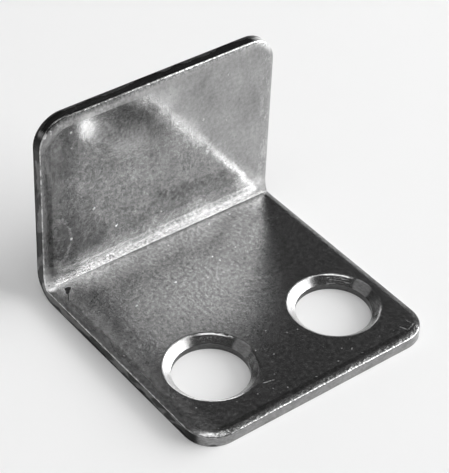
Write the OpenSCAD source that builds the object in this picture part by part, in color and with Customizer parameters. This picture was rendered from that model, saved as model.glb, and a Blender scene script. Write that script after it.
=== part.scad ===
// Angle bracket folded from one strip of sheet steel: a lying leaf with two
// countersunk screw holes and a plain upright leaf, with rounded free corners.
// Frame: X along the fold, +Y towards the upright, +Z up. The origin is the
// middle of the underside's box.

/* [Sheet] */
// Width of the strip, along the fold
width = 20; // [16:0.5:40]
// Thickness of the sheet
thickness = 1; // [0.8:0.1:1.6]
// Length of the lying leaf, from its front edge to the back of the upright
base_length = 19.8; // [16:0.1:40]
// Height of the upright, from the underside to its top edge
upright_height = 15; // [10:0.5:40]

/* [Fold and edges] */
// Radius with which the inside of the fold runs out into the upright
bend_radius = 2.4; // [0.5:0.1:3]
// Slope, in degrees, at which that curve rises from the lying leaf
bend_slope = 64; // [0:2:75]
// Radius outside the fold
outer_radius = 1.9; // [1.2:0.1:2.4]
// Radius of the four free corners, seen flat on
corner_radius = 2.2; // [1:0.1:3.5]
// Radius with which the punched side, which faces into the angle, starts to
// roll over towards its edges
roll_radius = 1.6; // [0.8:0.1:2]
// Slope of the punched side, in degrees, where the tight edge radius takes over
roll_slope = 25; // [10:1:35]
// Radius of the edge itself on the punched side
edge_radius = 0.15; // [0.05:0.05:0.3]

/* [Screw holes] */
// Diameter of the holes under their countersinks
hole_diameter = 5.5; // [3.5:0.1:5.7]
// Diameter of the countersinks at the top face
sink_diameter = 6.6; // [6.2:0.1:6.8]
// Angle between opposite walls of a countersink
sink_angle = 90; // [75:5:120]
// Radius of the edge between the top face and a countersink
sink_edge_radius = 0.3; // [0.1:0.05:0.5]
// Distance from the left side to the centre of the left hole
hole_from_left = 4.8; // [4.1:0.1:4.9]
// Distance from the right side to the centre of the right hole
hole_from_right = 4.3; // [4.1:0.1:4.9]
// Distance from the front edge to the hole centres
hole_from_front = 5.7; // [4.5:0.1:8]

/* [Hidden] */
$fn = 96;
// How far a cutting shape stands out of what it cuts
clear = 1;
back = base_length / 2;
front = -back;
inside = back - thickness;
fold_y = inside - bend_radius;
fold_z = thickness + bend_radius * cos(bend_slope);
edge_width = edge_radius * (1 - sin(roll_slope));
roll_width = roll_radius * sin(roll_slope) + edge_width;
roll_depth = roll_radius * (1 - cos(roll_slope)) + edge_radius * cos(roll_slope);
sink_half_angle = sink_angle / 2;
sink_depth = (sink_diameter - hole_diameter) / 2 / tan(sink_half_angle);
hole_y = front + hole_from_front;
hole_x = [-width / 2 + hole_from_left, width / 2 - hole_from_right];

// Cross-section of the strip: Y to the right, Z up
module fold_profile() {
    difference() {
        translate([front, 0])
            square([base_length, upright_height]);
        translate([back - outer_radius, 0])
            difference() {
                square([outer_radius + clear, outer_radius]);
                translate([0, outer_radius])
                    circle(outer_radius);
            }
        difference() {
            translate([front - clear, thickness])
                square([inside - front + clear, upright_height]);
            difference() {
                translate([fold_y, thickness])
                    square([bend_radius, fold_z - thickness]);
                translate([fold_y, fold_z])
                    circle(bend_radius);
            }
        }
    }
}

module folded_strip() {
    rotate([90, 0, 90])
        linear_extrude(width, center = true)
            fold_profile();
}

// What leaves a free corner round. The corner is at the origin, the sheet
// lies towards -X and -Y, and its face is at z = 0.
module corner_cut() {
    translate([-corner_radius, -corner_radius, -thickness - clear])
        difference() {
            cube([corner_radius + clear, corner_radius + clear, thickness + 2 * clear]);
            cylinder(h = thickness + 2 * clear, r = corner_radius);
        }
}

// Profile that rolls an edge over, as a punch leaves it: a wide arc that ends
// in a tight one. The side is at x = 0, the face at y = 0, and the sheet lies
// towards -X and -Y. It reaches up to y = top.
module edge_profile(top = clear) {
    difference() {
        translate([-roll_width, -roll_depth])
            square([roll_width + clear, roll_depth + top]);
        intersection() {
            translate([-roll_width, -roll_radius])
                circle(roll_radius);
            translate([-roll_width, -roll_depth])
                square([roll_width - edge_width, roll_depth]);
        }
        translate([-edge_radius, -roll_depth])
            circle(edge_radius);
    }
}

// Roll along a straight edge of the given length, from the origin towards +Y
module straight_roll(length, top = clear) {
    translate([0, length, 0])
        rotate([90, 0, 0])
            linear_extrude(length)
                edge_profile(top);
}

// Roll round a free corner whose sides would meet at the origin
module corner_roll() {
    translate([-corner_radius, -corner_radius, 0])
        rotate_extrude(angle = 90)
            translate([corner_radius, 0])
                edge_profile();
}

// Roll through the inside of the fold at the right-hand side. The roll of the
// lying leaf and that of the curve above it meet in the crease.
module fold_roll() {
    translate([width / 2, fold_y, 0])
        intersection() {
            translate([0, 0, fold_z])
                rotate([90, 0, 90])
                    rotate(-90)
                        rotate_extrude(angle = 90)
                            translate([bend_radius, 0])
                                rotate(90)
                                    edge_profile(top = bend_radius);
            translate([0, 0, thickness])
                straight_roll(bend_radius + clear, top = bend_radius);
        }
}

// Cuts along the right-hand half of a leaf that ends at y = reach
module leaf_side(reach) {
    translate([width / 2, 0, 0]) {
        straight_roll(reach - corner_radius);
        translate([0, reach, 0]) {
            corner_cut();
            corner_roll();
        }
    }
    translate([width / 2 - corner_radius, reach, 0])
        rotate(90)
            straight_roll(width / 2 - corner_radius);
}

module leaf_cuts(reach) {
    leaf_side(reach);
    mirror([1, 0, 0])
        leaf_side(reach);
}

// Through hole with its countersink and the rolled edge round it
module screw_hole() {
    tangent = sink_edge_radius * tan(45 - sink_half_angle / 2);
    translate([0, 0, -clear])
        cylinder(h = thickness + 2 * clear, d = hole_diameter);
    translate([0, 0, thickness - sink_depth])
        cylinder(h = sink_depth + clear, d1 = hole_diameter,
                 d2 = sink_diameter + 2 * clear * tan(sink_half_angle));
    translate([0, 0, thickness])
        rotate_extrude()
            translate([sink_diameter / 2, 0])
                difference() {
                    polygon([
                        [-tangent * sin(sink_half_angle), -tangent * cos(sink_half_angle)],
                        [tangent, 0],
                        [tangent, clear],
                        [-tangent * sin(sink_half_angle), clear]
                    ]);
                    translate([tangent, -sink_edge_radius])
                        circle(sink_edge_radius);
                }
}

module bracket() {
    color("silver")
        difference() {
            folded_strip();
            translate([0, fold_y, thickness])
                rotate(180)
                    leaf_cuts(fold_y - front);
            translate([0, inside, fold_z])
                rotate([90, 0, 0])
                    leaf_cuts(upright_height - fold_z);
            fold_roll();
            mirror([1, 0, 0])
                fold_roll();
            for (x = hole_x)
                translate([x, hole_y, 0])
                    screw_hole();
        }
}

bracket();
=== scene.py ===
"""Looks of the angle bracket: plated steel sheet on a pale floor in soft studio light.

The bracket's solid comes from the CAD frame and stays as it is. This script gives it its finish, and adds the
floor, the lamps and the camera. The scene is in metres. The finish works in millimetres, and so does every name
that ends in _MM.
"""

import math
from types import SimpleNamespace
from typing import NamedTuple

import bpy
from mathutils import Matrix, Vector


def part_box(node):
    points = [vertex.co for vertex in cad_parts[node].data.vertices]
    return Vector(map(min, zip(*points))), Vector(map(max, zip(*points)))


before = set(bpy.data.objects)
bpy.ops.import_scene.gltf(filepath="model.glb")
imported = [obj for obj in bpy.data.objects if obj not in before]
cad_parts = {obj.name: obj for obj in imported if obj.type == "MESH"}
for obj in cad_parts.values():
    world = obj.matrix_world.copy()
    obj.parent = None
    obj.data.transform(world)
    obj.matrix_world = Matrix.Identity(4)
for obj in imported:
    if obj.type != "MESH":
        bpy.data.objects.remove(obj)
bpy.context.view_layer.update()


class Mark(NamedTuple):
    """Oval mark in the finish, in mm. Its centre is (x, y) on the lying leaf and (x, z) on the upright."""
    centre: tuple
    reach: tuple
    tone: float = 0.0       # what it adds to the reflectance at its centre
    factor: float = 1.0     # what it multiplies the reflectance by at its centre


class Line(NamedTuple):
    """Line in the finish, in mm, with places as for a Mark. It fades to nothing at its width to both sides."""
    start: tuple
    end: tuple
    width: float


# Camera: worked out from the edges, corners and hole rims in the photograph
LENS_MM = 137.9
CAMERA_PLACE = Vector((-0.06103, -0.07335, 0.08620))
CAMERA_AIM = Vector((-0.00007, 0.00133, 0.00619))
CAMERA_ROLL = math.radians(2.76)

# Sheet: its sides and ends, from the frame, and the sizes in part.scad that the finish follows
MM_PER_METRE = 1000
LOWEST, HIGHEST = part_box("bracket")
HALF_WIDTH_MM = HIGHEST.x * MM_PER_METRE
FRONT_MM = LOWEST.y * MM_PER_METRE
BACK_MM = HIGHEST.y * MM_PER_METRE
TOP_MM = HIGHEST.z * MM_PER_METRE
THICKNESS_MM = 1.0
OUTER_RADIUS_MM = 1.9
BEND_Y_MM = BACK_MM - OUTER_RADIUS_MM
CREASE_Y_MM = 8.657
LEFT_HOLE_MM = (-5.2, -4.2)
RIGHT_HOLE_MM = (5.7, -4.2)
SINK_RADIUS_MM = 3.3
ROLL_SLOPE = math.radians(25)
ROLL_WIDTH_MM = 0.76

# Metal: reflectance and roughness of the clean plating
STEEL = 0.40
DARKEST = 0.012
LEAF_ROUGHNESS = 0.17
UPRIGHT_ROUGHNESS = 0.13
UPRIGHT_COARSENESS = 0.40       # pebbles and dust on the upright, compared with the lying leaf
DEPTH_STRETCH = 3.0             # how much faster patterns change through the sheet than along it
FACE_SHIFT_MM = 23.0            # keeps the spots of the two faces apart

# Marks on the lying leaf, with painted light, highlights and shade
BLOT = Mark((-8.75, 7.92), (0.42, 0.36), factor=0.08)
BLOT_WEDGE = Line(BLOT.centre, (-9.0, 7.6), 0.22)
BLOT_TAIL = Line(BLOT.centre, (-9.4, 6.9), 0.09)
# Darker patch on the lying leaf by the right end of the fold
DARK_BY_FOLD_END = Mark((7.3, 7.2), (3.0, 1.8), tone=-0.10)
# Painted light: the hazy and dusty patches also brighten the middle of the lying leaf
HAZE_AND_GLOW = Mark((-1.5, 0.5), (8.0, 8.5), tone=0.04)
DUSTY_LIT_MIDDLE = Mark((-0.6, 3.0), (6.5, 6.5), tone=0.08)
# Painted highlight: a bright crescent on the roll of the front left corner
CRESCENT_HIGHLIGHT = Mark((-9.3, -9.3), (1.2, 1.2), factor=2.2)
# Painted shade: the roll of the front right corner darker
CORNER_PAINTED_SHADE = Mark((9.75, -8.7), (1.3, 1.4), factor=0.3)
SCRATCHES = (
    Line((7.95, -8.7), (8.2, -9.2), 0.06),
    Line((8.25, -9.24), (8.85, -9.0), 0.07),
    Line((8.75, -8.45), (8.95, -8.95), 0.05),
    Line((-3.3, -7.55), (-2.5, -7.72), 0.05),
)
SINK_PATCH = Mark((2.95, 0.4), (0.9, 1.2))      # in each countersink, measured from the hole's axis

# Marks on the upright, with painted highlights, reflections and shade
RING = Mark((-8.75, 4.65), (0.95, 1.9), tone=0.20)
# Darker patch low on the upright by its left edge
DARK_FOOT = Mark((-9.2, 1.9), (0.6, 0.8), factor=0.45)
# Painted reflections: a darker patch, a bright spot, a lighter middle and the top of the bright diagonal band
PAINTED_DARK_REFLECTION = Mark((-3.0, 12.5), (3.2, 2.1), tone=-0.15)
PAINTED_BRIGHT_SPOT = Mark((-6.2, 13.45), (1.3, 1.6), tone=0.5)
PAINTED_LIGHT_MIDDLE = Mark((-0.8, 8.3), (6.0, 5.5), tone=0.10)
PAINTED_BAND_TOP = Mark((0.3, 13.2), (2.0, 1.6), tone=0.12)
# Painted reflection: the foot of the bright diagonal band across the upright
PAINTED_BAND_FOOT = Line((9.0, 1.6), (3.8, 7.7), 1.1)
# Painted shade: a dark streak on the upright, above and along the fold
PAINTED_SHADE = Line((0.0, 4.7), (5.6, 4.25), 0.8)
# Painted highlight on the rounded top right corner
CORNER_HIGHLIGHT = Mark((9.6, 14.7), (1.9, 1.6), tone=0.9)
# Painted highlights: bright beads on the roll at the top left corner
CORNER_BEAD_HIGHLIGHTS = Mark((-9.3, 14.3), (1.5, 1.5), tone=0.4)

# Studio
LAMP_DISTANCE = 0.8
WORLD_LEVEL = 0.05
FLOOR_COLOUR = 0.8
FLOOR_GLOW = 0.10
FLOOR_RADIUS = 0.9
FLOOR_DROP = 0.00002            # keeps the floor just clear of the underside
FLOOR_SIDES = 96
SWEEP_RADIUS = 0.2
SWEEP_TOP = 0.34
SWEEP_STEPS = 12


# ---------------------------------------------------------------------------------------------------- node helper

class Tree:
    """Short calls for a material's nodes. Inputs are numbers, tuples or the outputs of other nodes."""

    def __init__(self, material):
        material.use_nodes = True
        self.nodes = material.node_tree.nodes
        self.links = material.node_tree.links
        self.shader = self.nodes["Principled BSDF"]

    def feed(self, socket, value):
        if isinstance(value, bpy.types.NodeSocket):
            self.links.new(value, socket)
        else:
            socket.default_value = value

    def node(self, kind, inputs, **settings):
        made = self.nodes.new(kind)
        for name, value in settings.items():
            setattr(made, name, value)
        for name, value in inputs.items():
            self.feed(made.inputs[name], value)
        return made.outputs[0]

    def math(self, operation, a, b=0.0):
        return self.node("ShaderNodeMath", {0: a, 1: b}, operation=operation)

    def add(self, *terms):
        total = terms[0]
        for term in terms[1:]:
            total = self.math("ADD", total, term)
        return total

    def multiply(self, *terms):
        total = terms[0]
        for term in terms[1:]:
            total = self.math("MULTIPLY", total, term)
        return total

    def less(self, a, b):
        """a minus b."""
        return self.math("SUBTRACT", a, b)

    def outside(self, mask):
        """0 where the mask is 1, and 1 where it is 0."""
        return self.less(1.0, mask)

    def smallest(self, a, b):
        return self.math("MINIMUM", a, b)

    def largest(self, *terms):
        total = terms[0]
        for term in terms[1:]:
            total = self.math("MAXIMUM", total, term)
        return total

    def size(self, value):
        return self.math("ABSOLUTE", value)

    def length(self, a, b):
        """Length of the line whose two sides are a and b."""
        return self.math("SQRT", self.add(self.math("POWER", a, 2.0), self.math("POWER", b, 2.0)))

    def ramp(self, value, low, high, first=0.0, last=1.0):
        """Goes smoothly from first to last while value goes from low to high."""
        return self.node("ShaderNodeMapRange", {"Value": value, "From Min": low, "From Max": high,
                                                "To Min": first, "To Max": last},
                         interpolation_type="SMOOTHSTEP")

    def blend(self, mask, outside, inside):
        """Goes from outside to inside while the mask goes from 0 to 1."""
        return self.ramp(mask, 0, 1, outside, inside)

    def vector(self, x, y, z):
        return self.node("ShaderNodeCombineXYZ", {0: x, 1: y, 2: z})

    def scaled(self, vector, factors):
        return self.node("ShaderNodeVectorMath", {0: vector, 1: factors}, operation="MULTIPLY")

    def moved(self, vector, step):
        return self.node("ShaderNodeVectorMath", {0: vector, 1: step}, operation="ADD")

    def split(self, vector):
        parts = self.nodes.new("ShaderNodeSeparateXYZ")
        self.links.new(vector, parts.inputs[0])
        return parts.outputs[0], parts.outputs[1], parts.outputs[2]

    def noise(self, place, size, detail=2.0, roughness=0.5):
        """Noise from 0 to 1 with patches of the given size: one length, or one for each direction."""
        if not isinstance(size, tuple):
            size = (size, size, size)
        return self.node("ShaderNodeTexNoise",
                         {"Vector": self.scaled(place, tuple(1 / s for s in size)), "Scale": 1.0,
                          "Detail": detail, "Roughness": roughness})

    def swing(self, place, size, spread, **settings):
        """Noise about 0, from -spread / 2 to spread / 2."""
        return self.multiply(self.less(self.noise(place, size, **settings), 0.5), spread)

    def relief(self, place, size, slope, **settings):
        """Height in mm of bumps of the given size, whose sides lean by about slope degrees."""
        smallest = min(size) if isinstance(size, tuple) else size
        return self.swing(place, size, 2 * smallest * math.radians(slope), **settings)

    def spots(self, place, spacing, radius, share):
        """Round spots of 0.4 to 1 times the radius, in the given share of the cells of a field of that spacing."""
        cells = self.nodes.new("ShaderNodeTexVoronoi")
        cells.voronoi_dimensions = "2D"
        cells.inputs["Scale"].default_value = 1 / spacing
        self.links.new(place, cells.inputs["Vector"])
        chance, bigness, _ = self.split(cells.outputs["Color"])
        distance = self.multiply(cells.outputs["Distance"], spacing)
        reach = self.ramp(bigness, 0, 1, 0.4 * radius, radius)
        nearness = self.less(1.0, self.math("DIVIDE", distance, reach))
        chosen = self.math("LESS_THAN", chance, share)
        return self.multiply(self.ramp(nearness, 0.0, 0.5), chosen)

    def patch(self, a, b, mark):
        """1 at the centre of a mark in the plane of a and b, fading to 0 at its reach."""
        da = self.multiply(self.less(a, mark.centre[0]), 1 / mark.reach[0])
        db = self.multiply(self.less(b, mark.centre[1]), 1 / mark.reach[1])
        return self.ramp(self.length(da, db), 1.0, 0.0)

    def stroke(self, a, b, line):
        """1 on a line in the plane of a and b, fading to 0 from 0.35 of its width to its width."""
        along = Vector(line.end) - Vector(line.start)
        length = along.length
        along.normalize()
        da, db = self.less(a, line.start[0]), self.less(b, line.start[1])
        run = self.add(self.multiply(da, along.x), self.multiply(db, along.y))
        off = self.add(self.multiply(da, -along.y), self.multiply(db, along.x))
        held = self.smallest(self.largest(run, 0.0), length)
        return self.ramp(self.length(off, self.less(run, held)), line.width, 0.35 * line.width)


# ----------------------------------------------------------------------------------------------- the folded sheet

def sheet_fields(t):
    """Where a point lies on the folded sheet, in mm: the numbers that every part of the finish starts from."""
    coordinates = t.nodes.new("ShaderNodeTexCoord")
    place = t.scaled(coordinates.outputs["Object"], (MM_PER_METRE, MM_PER_METRE, MM_PER_METRE))
    x, y, z = t.split(place)
    out_y = t.largest(t.less(y, BEND_Y_MM), 0.0)
    out_z = t.largest(t.less(OUTER_RADIUS_MM, z), 0.0)
    radius = t.length(out_y, out_z)
    depth = t.largest(t.less(radius, OUTER_RADIUS_MM - THICKNESS_MM), 0.0)
    _, normal_y, normal_z = t.split(coordinates.outputs["Normal"])
    inwards = t.math("DIVIDE", t.less(t.multiply(normal_z, out_z), t.multiply(normal_y, out_y)), radius)
    along = t.add(y, z)
    strip = t.vector(x, along, t.multiply(depth, DEPTH_STRETCH))
    to_left = t.add(x, HALF_WIDTH_MM)
    above_crease = t.less(z, THICKNESS_MM)

    def from_hole(centre):
        return t.length(t.less(x, centre[0]), t.less(y, centre[1]))

    right_half = t.math("GREATER_THAN", x, 0.0)
    hole_x = t.add(LEFT_HOLE_MM[0], t.multiply(right_half, RIGHT_HOLE_MM[0] - LEFT_HOLE_MM[0]))
    return SimpleNamespace(
        place=place, x=x, y=y, z=z,
        depth=depth,                            # 0 on the face that looks into the angle, 1 on the other
        along=along,                            # length along the strip, through the fold
        strip=strip,                            # place on the strip laid flat, with its depth
        face=t.vector(t.add(x, t.multiply(inwards, FACE_SHIFT_MM)), along, 0.0),    # without depth, faces apart
        inwards=inwards,                        # 1 on the inner face, -1 on the outer, 0 on cut edges
        facing=t.size(inwards),                 # 1 on both faces, 0 on cut edges
        hole=t.smallest(from_hole(LEFT_HOLE_MM), from_hole(RIGHT_HOLE_MM)),     # from the nearest hole's axis
        from_hole_x=t.less(x, hole_x),
        from_hole_y=t.less(y, LEFT_HOLE_MM[1]),
        to_left=to_left,                        # distances to the sides and ends of the strip
        to_right=t.less(HALF_WIDTH_MM, x),
        to_front=t.less(y, FRONT_MM),
        to_top=t.less(TOP_MM, z),
        uneven_left=t.add(to_left, t.swing(strip, 2.4, 1.6)),
        above_crease=above_crease,
        before_crease=t.less(CREASE_Y_MM, y),
        upright=t.ramp(above_crease, 0.3, 0.9),     # 1 on the upright, 0 on the lying leaf
        wobble=t.swing(place, 0.5, 0.5),        # makes the outlines of marks uneven
    )


def masks(t, f):
    """The zones of the sheet, each 1 inside and 0 outside."""
    at_hole = t.ramp(f.hole, SINK_RADIUS_MM + 0.12, SINK_RADIUS_MM + 0.02)
    inner = t.ramp(f.inwards, 0.05, 0.35)
    to_side = t.smallest(f.to_left, f.to_right)
    in_bend = t.multiply(t.ramp(f.y, BEND_Y_MM - 0.3, BEND_Y_MM), t.ramp(f.above_crease, 1.6, 1.2),
                         t.ramp(to_side, ROLL_WIDTH_MM - 0.1, ROLL_WIDTH_MM + 0.1))
    plain_edge = t.multiply(t.outside(at_hole), t.outside(in_bend))
    tilted = t.ramp(f.inwards, math.cos(0.15 * ROLL_SLOPE), math.cos(0.9 * ROLL_SLOPE))
    cut = t.multiply(t.ramp(f.facing, 0.5, 0.2), plain_edge)

    ragged = t.swing(f.place, 0.7, 0.6, detail=3)
    patchy = t.swing(f.place, 3.0, 1.4, detail=1)
    left_side = t.ramp(f.to_left, 0.4, 0.1)
    front_side = t.ramp(f.to_front, 0.3, 0.05)
    torn_depth = t.add(f.depth, ragged, patchy, t.multiply(left_side, 0.1), t.multiply(front_side, -0.8))

    bore = t.multiply(at_hole, t.ramp(f.facing, 0.4, 0.2))
    wall = t.less(at_hole, bore)
    leftwards = t.less(t.multiply(f.from_hole_y, 0.5), t.multiply(f.from_hole_x, 0.87))
    return SimpleNamespace(
        inner=inner,                                                # all that looks into the angle
        flat=t.ramp(f.facing, 0.985, 0.999),                        # both faces, without rolls and curves
        at_hole=at_hole,
        plain=t.outside(t.largest(cut, at_hole)),                   # the sheet as it was rolled and plated
        rolled=t.multiply(tilted, inner, plain_edge),               # the punched edge's roll
        cut=cut,                                                    # the sheet's narrow sides
        torn=t.multiply(t.ramp(torn_depth, 0.85, 0.95), cut),       # where the punch tore the sheet off
        left_side=t.multiply(left_side, cut),
        crease=t.multiply(t.ramp(f.above_crease, 0.5, 0.05), t.ramp(f.before_crease, 0.25, 0.05), inner),
        leaf_top=t.multiply(t.outside(f.upright), inner, t.outside(at_hole)),
        upright_face=t.multiply(f.upright, inner),
        bore=bore,
        wall=wall,                                                  # of a countersink
        # the countersinks' left walls, which take a painted highlight and more roughness
        highlit_wall=t.multiply(wall, t.ramp(leftwards, 0.4, 1.6)),
        grey_wall=t.ramp(t.multiply(t.patch(f.from_hole_x, f.from_hole_y, SINK_PATCH), wall), 0.12, 0.5),
    )


# ----------------------------------------------------------------------------------------------------- the finish
# t is the material's tree, f the fields of the sheet, m its masks and p its plating.

def marks_of_use(t, f, m):
    """How strongly each mark of use, each speck, the painted shade on the upright and the painted bead highlights at
    its top left corner show, from 0 where there is none.
    """
    dx = t.multiply(t.less(f.x, RING.centre[0]), 1 / RING.reach[0])
    dz = t.multiply(t.less(f.z, RING.centre[1]), 1 / RING.reach[1])
    ring_distance = t.add(t.length(dx, dz), f.wobble)
    rim = t.ramp(t.size(t.less(ring_distance, 1.0)), 0.16, 0.03)
    residue = t.multiply(t.ramp(ring_distance, 1.0, 0.9), t.noise(f.place, (0.3, 0.3, 0.9), detail=3), 0.5)
    strong_right = t.ramp(t.less(f.x, RING.centre[0]), -0.9, 0.5, 0.35, 1.0)
    broken = t.ramp(t.noise(f.place, 0.6), 0.35, 0.6, 0.35, 1.0)

    drop = t.ramp(t.patch(f.x, t.add(f.y, t.multiply(f.wobble, 0.5)), BLOT), 0.15, 0.5)
    wedge = t.stroke(f.x, f.y, BLOT_WEDGE)
    tail = t.multiply(t.stroke(f.x, f.y, BLOT_TAIL), 0.8)

    scratches = t.largest(*(t.stroke(f.x, f.y, line) for line in SCRATCHES))
    # painted shade
    painted_shade = t.stroke(t.add(f.x, f.wobble), t.add(f.z, f.wobble), PAINTED_SHADE)
    by_crease = t.multiply(t.ramp(f.above_crease, 0.02, 0.1), t.ramp(f.above_crease, 0.6, 0.3),
                           t.ramp(f.before_crease, 0.1, 0.0), t.ramp(f.x, 2.0, -6.0, 0.2, 1.0))
    smudged = t.ramp(t.noise(f.place, (0.35, 0.35, 0.7), detail=4, roughness=0.7), 0.53, 0.6)
    return SimpleNamespace(
        ring=t.multiply(t.add(rim, residue), strong_right, broken, m.flat, m.upright_face),
        blot=t.multiply(t.largest(drop, wedge, tail), m.leaf_top),
        dark_foot=t.multiply(t.patch(f.x, f.z, DARK_FOOT), m.inner),
        scratches=t.multiply(scratches, m.leaf_top, t.ramp(t.noise(f.place, 0.2), 0.35, 0.55)),
        painted_shade=t.multiply(painted_shade, m.inner, t.ramp(t.noise(f.place, (0.5, 0.5, 0.3), detail=3), 0.3, 0.6, 0.3, 1.0)),
        dots=t.multiply(t.spots(t.vector(f.x, f.along, 0.0), 0.20, 0.105, 0.6), by_crease, m.inner),
        smudges=t.multiply(smudged, t.ramp(f.to_right, 1.6, 0.7), m.upright_face),
        dark_by_fold_end=t.multiply(t.patch(t.add(f.x, f.wobble), f.y, DARK_BY_FOLD_END), m.leaf_top),
        # painted bead highlights on the top left corner's roll
        beads=t.multiply(t.patch(f.x, f.z, CORNER_BEAD_HIGHLIGHTS), m.rolled,
                         t.ramp(t.noise(f.place, 0.45, detail=1), 0.52, 0.60), 2.0),
        nibs=t.multiply(t.spots(t.moved(f.face, f.wobble), 1.9, 0.13, 0.16), m.flat),
        pits=t.multiply(t.spots(f.face, 0.9, 0.07, 0.35), m.flat),
        grit=t.multiply(t.spots(t.moved(f.face, (0.3, 0.4, 0.0)), 1.05, 0.09, 0.30), m.flat, m.inner,
                        t.ramp(f.y, -1.0, -4.5, 0.05, 0.40)),
    )


def plating(t, f, m):
    """Uneven plating: speckles from -1 to 1, a hazy patch and a dusty patch on the lying leaf, both with painted
    light, and how coarse it is.
    """
    drift = t.swing(f.strip, 1.6, 3.0, detail=3)
    x, y = t.add(f.x, drift), t.add(f.y, drift)
    return SimpleNamespace(
        mottle=t.ramp(t.noise(f.strip, (0.27, 0.32, 0.3), detail=5, roughness=0.8), 0.3, 0.7, -1.0, 1.0),
        haze_and_glow=t.multiply(t.patch(x, y, HAZE_AND_GLOW), m.leaf_top),
        dusty_lit_middle=t.multiply(t.patch(x, y, DUSTY_LIT_MIDDLE), m.leaf_top),
        coarse=t.blend(f.upright, 1.0, UPRIGHT_COARSENESS),
    )


def relief_height(t, f, m, marks, p):
    """Height in mm of all that is too shallow for the solid."""
    # Skin: fine grain, pebbles, shallow waves and streaks from rolling, half as high on the punched edge's roll
    leaf_grain = t.relief(f.strip, (0.22, 0.26, 0.2), slope=2.0, detail=4, roughness=0.7)
    upright_grain = t.relief(f.strip, (0.13, 0.15, 0.13), slope=0.6, detail=3, roughness=0.6)
    grain = t.add(t.multiply(leaf_grain, t.outside(f.upright)), t.multiply(upright_grain, f.upright))
    pebbles = t.multiply(t.relief(f.strip, 0.45, slope=0.5), p.coarse)
    waves = t.relief(f.strip, (2.2, 2.8, 2.2), slope=0.35)
    streaks = t.relief(f.strip, (0.11, 1.6, 0.6), slope=0.35)
    skin = t.multiply(t.add(grain, pebbles, streaks, waves), m.plain, t.blend(m.rolled, 1.0, 0.5))

    # Punched edge: beads along the roll, fine upright lines on the land, a rough torn band below it
    beads = t.multiply(t.relief(f.place, 0.26, slope=3.0), m.rolled)
    upright_lines = t.vector(f.x, f.along, t.multiply(f.depth, 0.1))
    land = t.multiply(t.relief(upright_lines, (0.07, 0.07, 0.1), slope=3.0), m.cut)
    tear = t.multiply(t.relief(f.place, 0.11, slope=12.0, detail=3, roughness=0.6), m.torn)

    # Strip: its left edge falls away, the crease is pressed in, the curve runs out into the upright
    crown = t.multiply(t.ramp(f.uneven_left, -0.4, 3.4, -1.0, 0.0), t.blend(f.upright, 0.09, 0.05), m.inner)
    press = t.multiply(t.ramp(f.before_crease, 0.0, 0.45, -0.03, 0.0), m.leaf_top)
    run_out = t.multiply(t.ramp(f.above_crease, 0.5, 2.5, 0.085, 0.0), m.inner)
    crushed = t.multiply(t.relief(f.place, (0.13, 0.10, 0.10), slope=6.0, roughness=0.6), m.crease)

    # Countersinks: turned rings, with a little chatter
    turned = t.vector(t.add(f.hole, f.z), t.multiply(f.x, 0.12), t.multiply(f.y, 0.12))
    rings = t.multiply(t.relief(turned, (0.06, 0.12, 0.12), slope=4.0), m.at_hole)
    return t.add(skin, beads, land, tear, crown, press, run_out, crushed, rings,
                 t.multiply(marks.nibs, 0.008), t.multiply(marks.pits, -0.005))


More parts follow.
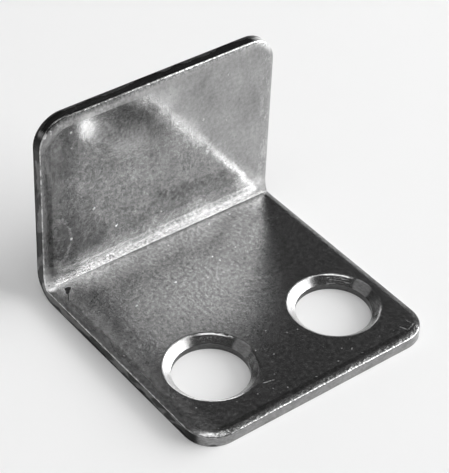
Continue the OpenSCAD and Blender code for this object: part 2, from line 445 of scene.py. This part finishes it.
def reflectance(t, f, m, marks, p):
    """How much light the metal gives back, with its painted highlights, reflections and shade: first what is added
    to the steel, then what multiplies it.
    """
    speckled = t.ramp(t.multiply(f.upright, t.add(f.x, f.z)), 9.0, 14.0, 0.85, 0.42)
    clouds = t.multiply(t.less(t.noise(f.strip, (2.6, 3.4, 2.6), detail=4, roughness=0.6), 0.5),
                        t.blend(f.upright, 0.18, 0.38))
    # Painted highlight: a glow along the fold, stronger towards the left end
    painted_fold_glow = t.multiply(t.ramp(t.size(t.less(f.above_crease, 0.6)), 1.6, 0.0),
                         t.ramp(f.before_crease, 0.5, 0.0), t.ramp(f.x, -2.0, -8.0, 0.07, 0.42))
    # Painted reflection at the foot of the bright diagonal band
    painted_band_foot = t.multiply(t.stroke(f.x, f.z, PAINTED_BAND_FOOT), m.upright_face, t.ramp(f.x, 4.4, 9.2))
    # Painted highlight: a light line along the left edge, broken by noise
    left_edge_highlight = t.multiply(t.ramp(f.inwards, 0.9, 0.8), t.ramp(f.inwards, 0.3, 0.5), t.ramp(f.to_left, 0.5, 0.2),
                           t.ramp(t.noise(f.place, 0.4), 0.35, 0.6))
    # Painted highlight on the top right corner, on its roll and cut sides
    corner_highlight = t.multiply(t.patch(f.x, f.z, CORNER_HIGHLIGHT), t.largest(m.rolled, m.cut))
    tone = t.add(
        STEEL,
        clouds,
        t.multiply(p.mottle, 0.15, speckled),
        painted_fold_glow,
        t.multiply(painted_band_foot, 0.16),
        t.multiply(left_edge_highlight, 0.5),
        t.multiply(t.swing(f.place, 0.6, 0.30, detail=3), m.cut),
        t.multiply(m.rolled, 0.05),
        t.multiply(f.upright, -0.045),
        # painted shade: the upright darker towards its left edge
        t.multiply(t.ramp(f.to_left, 4.5, 1.0), f.upright, -0.04),
        t.multiply(marks.ring, RING.tone),
        t.multiply(marks.dark_by_fold_end, DARK_BY_FOLD_END.tone),
        t.multiply(marks.scratches, 0.5),
        t.multiply(marks.smudges, 0.14),
        t.multiply(marks.painted_shade, -0.11),
        t.multiply(marks.dots, -0.42),
        t.multiply(marks.nibs, 0.25),
        t.multiply(marks.pits, -0.12),
        # painted bead highlights
        t.multiply(marks.beads, CORNER_BEAD_HIGHLIGHTS.tone),
        t.multiply(corner_highlight, CORNER_HIGHLIGHT.tone),
        # painted reflections on the upright: a darker patch, a bright spot, the top of the diagonal band and a
        # lighter middle
        *(t.multiply(t.patch(f.x, f.z, mark), m.upright_face, mark.tone)
          for mark in (PAINTED_DARK_REFLECTION, PAINTED_BRIGHT_SPOT, PAINTED_BAND_TOP, PAINTED_LIGHT_MIDDLE)),
    )

    # Painted shade on the roll along each part of the edge, breaking its highlight into beads, and the dark
    # stretches of the left side
    by_crease = t.multiply(t.ramp(t.size(t.less(f.above_crease, 0.3)), 0.9, 0.4), t.ramp(f.before_crease, 0.5, 0.2))
    left_roll = t.multiply(t.ramp(f.uneven_left, 1.5, 0.2), m.inner, t.outside(m.at_hole), t.outside(by_crease),
                           t.ramp(f.above_crease, 0.0, 1.0, 1.0, 4.0), t.ramp(f.along, 2.0, -8.0, 0.13, 0.7))
    right_roll = t.multiply(m.rolled, t.ramp(f.to_right, 1.1, 0.5), t.ramp(f.above_crease, 0.3, 0.0),
                            t.ramp(f.to_front, 0.05, 0.6), t.ramp(f.y, -4.5, -2.0, 1.0, 0.42))
    front_roll = t.multiply(t.ramp(f.inwards, 0.9999, 0.996), t.ramp(f.inwards, 0.965, 0.985), m.inner,
                            t.ramp(f.to_front, 1.0, 0.6), t.outside(m.at_hole))
    top_roll = t.multiply(m.rolled, t.ramp(f.to_top, 1.2, 0.6), t.ramp(f.x, 3.0, -5.0))
    painted_bead_gaps = t.multiply(m.rolled, t.largest(t.ramp(f.to_front, 0.9, 0.6), t.ramp(f.to_top, 1.0, 0.6)),
                        t.ramp(t.noise(f.place, 0.17, detail=1), 0.6, 0.42))
    stretch = t.ramp(t.noise(t.vector(0.0, f.along, t.multiply(f.depth, 1.5)), 2.3), 0.49, 0.56)
    below_land = t.ramp(t.add(f.depth, t.multiply(t.noise(f.place, 0.8), 0.5)), 0.3, 0.5)
    tone = t.multiply(
        tone,
        t.blend(m.cut, 1.0, 0.72),
        # painted shade: the left side darker
        t.blend(m.left_side, 1.0, 0.6),
        t.blend(t.multiply(stretch, below_land, m.left_side), 1.0, 0.15),
        t.blend(m.torn, 1.0, 0.3),
        # painted shade in the hole, on top of the darker tone of a punched side
        t.blend(m.bore, 1.0, 0.3),
        # painted highlight on the countersinks' left walls
        t.blend(m.highlit_wall, 1.0, 1.3),
        # painted shade on the rolls
        t.blend(left_roll, 1.0, 0.42),
        t.blend(right_roll, 1.0, 0.42),
        t.blend(front_roll, 1.0, 0.6),
        t.blend(top_roll, 1.0, 0.5),
        t.blend(painted_bead_gaps, 1.0, 0.5),
        # painted highlight on the front left corner
        t.blend(t.multiply(t.patch(f.x, f.y, CRESCENT_HIGHLIGHT), m.rolled), 1.0, CRESCENT_HIGHLIGHT.factor),
        # painted shade on the front right corner
        t.ramp(t.multiply(t.patch(f.x, f.y, CORNER_PAINTED_SHADE), m.rolled), 0.0, 0.6, 1.0, CORNER_PAINTED_SHADE.factor),
        t.blend(marks.blot, 1.0, BLOT.factor),
        t.blend(marks.dark_foot, 1.0, DARK_FOOT.factor),
    )
    # painted light in the middle of the lying leaf
    tone = t.add(tone, t.multiply(p.haze_and_glow, HAZE_AND_GLOW.tone),
                 t.multiply(p.dusty_lit_middle, t.add(DUSTY_LIT_MIDDLE.tone, t.multiply(p.mottle, 0.08))))
    return t.largest(tone, DARKEST)


def dullness(t, f, m, marks, p):
    """Roughness of the metal."""
    fold_curve = t.multiply(t.ramp(f.above_crease, 0.3, 1.1), t.ramp(f.above_crease, 2.4, 1.2), m.inner)
    return t.add(
        t.blend(f.upright, LEAF_ROUGHNESS, UPRIGHT_ROUGHNESS),
        t.swing(f.strip, (1.4, 2.2, 1.4), 0.12, detail=3),
        t.multiply(t.ramp(f.uneven_left, 2.4, 0.2), m.inner, 0.10),
        t.multiply(fold_curve, 0.07),
        t.multiply(p.haze_and_glow, 0.08),
        t.multiply(m.torn, 0.3),
        t.multiply(m.rolled, 0.04),
        t.multiply(m.highlit_wall, 0.16),
        t.multiply(marks.nibs, 0.15),
        t.multiply(marks.blot, 0.3),
        t.multiply(marks.scratches, 0.2),
        t.multiply(marks.ring, 0.06),
    )


def dust_film(t, f, m, marks, p):
    """Film of handling dust, which shows where the metal has nothing bright to mirror."""
    dust = t.ramp(t.noise(f.strip, (0.3, 0.36, 0.3), detail=4, roughness=0.75), 0.45, 0.75, 0.02, 0.12)
    dusty_lit_middle = t.multiply(p.dusty_lit_middle, t.add(0.05, t.multiply(p.mottle, 0.03)))
    by_left_edge = t.multiply(t.ramp(f.uneven_left, 2.0, 0.2), t.ramp(p.mottle, -0.6, 0.8, 0.05, 0.22), m.inner)
    # The film on the beads is part of their painted highlights.
    return t.add(t.multiply(t.add(dust, dusty_lit_middle), p.coarse, m.plain), t.multiply(by_left_edge, m.plain),
                 t.multiply(m.grey_wall, 0.55), t.multiply(m.wall, 0.05), t.multiply(marks.beads, 0.5), marks.grit)


def plated_steel():
    material = bpy.data.materials.new("plated_steel")
    t = Tree(material)
    f = sheet_fields(t)
    m = masks(t, f)
    marks = marks_of_use(t, f, m)
    p = plating(t, f, m)
    tone = reflectance(t, f, m, marks, p)
    height = t.multiply(relief_height(t, f, m, marks, p), 1 / MM_PER_METRE)
    t.feed(t.shader.inputs["Base Color"], t.node("ShaderNodeCombineColor", {0: tone, 1: tone, 2: tone}))
    t.feed(t.shader.inputs["Metallic"], t.less(1.0, dust_film(t, f, m, marks, p)))
    t.feed(t.shader.inputs["Roughness"], dullness(t, f, m, marks, p))
    t.feed(t.shader.inputs["Normal"], t.node("ShaderNodeBump", {"Height": height, "Strength": 1.0, "Distance": 1.0}))
    return material


# ------------------------------------------------------------------------------------------------------ the studio

def make_camera():
    data = bpy.data.cameras.new("camera")
    data.lens = LENS_MM
    data.clip_start = 0.01
    data.clip_end = 20
    camera = bpy.data.objects.new("camera", data)
    camera.location = CAMERA_PLACE
    aim = (CAMERA_AIM - CAMERA_PLACE).to_track_quat("-Z", "Y").to_matrix()
    camera.rotation_euler = (aim @ Matrix.Rotation(CAMERA_ROLL, 3, "Z")).to_euler()
    bpy.context.scene.collection.objects.link(camera)
    bpy.context.scene.camera = camera


def direction(azimuth, elevation):
    """Unit vector from the bracket. Azimuth is in degrees from +X towards +Y."""
    a, e = math.radians(azimuth), math.radians(elevation)
    return Vector((math.cos(a) * math.cos(e), math.sin(a) * math.cos(e), math.sin(e)))


def softbox(name, azimuth, elevation, width, height, radiance):
    """Rectangular lamp that faces the bracket. A radiance of 1 shows as white in a mirror."""
    data = bpy.data.lights.new(name, "AREA")
    data.shape = "RECTANGLE"
    data.size = width
    data.size_y = height
    data.energy = radiance * math.pi * width * height
    lamp = bpy.data.objects.new(name, data)
    towards = direction(azimuth, elevation)
    lamp.location = towards * LAMP_DISTANCE
    lamp.rotation_euler = towards.to_track_quat("Z", "Y").to_euler()
    lamp.visible_camera = False
    bpy.context.scene.collection.objects.link(lamp)


def make_lamps():
    softbox("front_window", azimuth=-18, elevation=19, width=0.74, height=0.40, radiance=9.0)
    softbox("front_window_side", azimuth=-53, elevation=18, width=0.22, height=0.32, radiance=7.5)
    softbox("high_softbox", azimuth=-29, elevation=44, width=0.50, height=0.31, radiance=2.4)
    softbox("top_softbox", azimuth=-40, elevation=61, width=0.24, height=0.17, radiance=2.0)
    softbox("right_softbox", azimuth=17, elevation=11, width=0.25, height=0.26, radiance=2.5)
    softbox("side_softbox", azimuth=72, elevation=20, width=0.35, height=0.25, radiance=1.0)
    softbox("overhead_softbox", azimuth=-135, elevation=78, width=0.55, height=0.45, radiance=2.6)


def make_world():
    world = bpy.data.worlds.new("world")
    world.use_nodes = True
    background = world.node_tree.nodes["Background"]
    background.inputs["Color"].default_value = (1, 1, 1, 1)
    background.inputs["Strength"].default_value = WORLD_LEVEL
    bpy.context.scene.world = world


def floor_material():
    """Pale paper. Where the camera or the metal sees it, it shows a little nearer to white."""
    material = bpy.data.materials.new("pale_paper")
    t = Tree(material)
    t.shader.inputs["Base Color"].default_value = (FLOOR_COLOUR, FLOOR_COLOUR, FLOOR_COLOUR, 1)
    t.shader.inputs["Roughness"].default_value = 1.0
    t.shader.inputs["Specular IOR Level"].default_value = 0.0
    t.shader.inputs["Emission Color"].default_value = (1, 1, 1, 1)
    path = t.nodes.new("ShaderNodeLightPath")
    seen = t.largest(path.outputs["Is Camera Ray"], path.outputs["Is Glossy Ray"],
                     path.outputs["Is Transmission Ray"])
    t.feed(t.shader.inputs["Emission Strength"], t.multiply(seen, FLOOR_GLOW))
    return material


def make_floor():
    """Round floor that sweeps up into a low wall."""
    profile = [(0.0, 0.0), (FLOOR_RADIUS, 0.0)]
    for step in range(1, SWEEP_STEPS + 1):
        angle = math.pi / 2 * step / SWEEP_STEPS
        profile.append((FLOOR_RADIUS + SWEEP_RADIUS * math.sin(angle), SWEEP_RADIUS * (1 - math.cos(angle))))
    profile.append((FLOOR_RADIUS + SWEEP_RADIUS, SWEEP_TOP))
    points, faces = [], []
    for radius, height in profile:
        for k in range(FLOOR_SIDES):
            angle = 2 * math.pi * k / FLOOR_SIDES
            points.append((radius * math.cos(angle), radius * math.sin(angle), height - FLOOR_DROP))
    for ring in range(len(profile) - 1):
        for k in range(FLOOR_SIDES):
            a, b = ring * FLOOR_SIDES + k, ring * FLOOR_SIDES + (k + 1) % FLOOR_SIDES
            faces.append((a, a + FLOOR_SIDES, b + FLOOR_SIDES, b))
    mesh = bpy.data.meshes.new("floor")
    mesh.from_pydata(points, [], faces)
    mesh.materials.append(floor_material())
    floor = bpy.data.objects.new("floor", mesh)
    bpy.context.scene.collection.objects.link(floor)


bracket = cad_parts["bracket"]
bracket.data.materials.clear()
bracket.data.materials.append(plated_steel())

make_floor()
make_world()
make_lamps()
make_camera()

bpy.context.scene.view_settings.view_transform = "Standard"
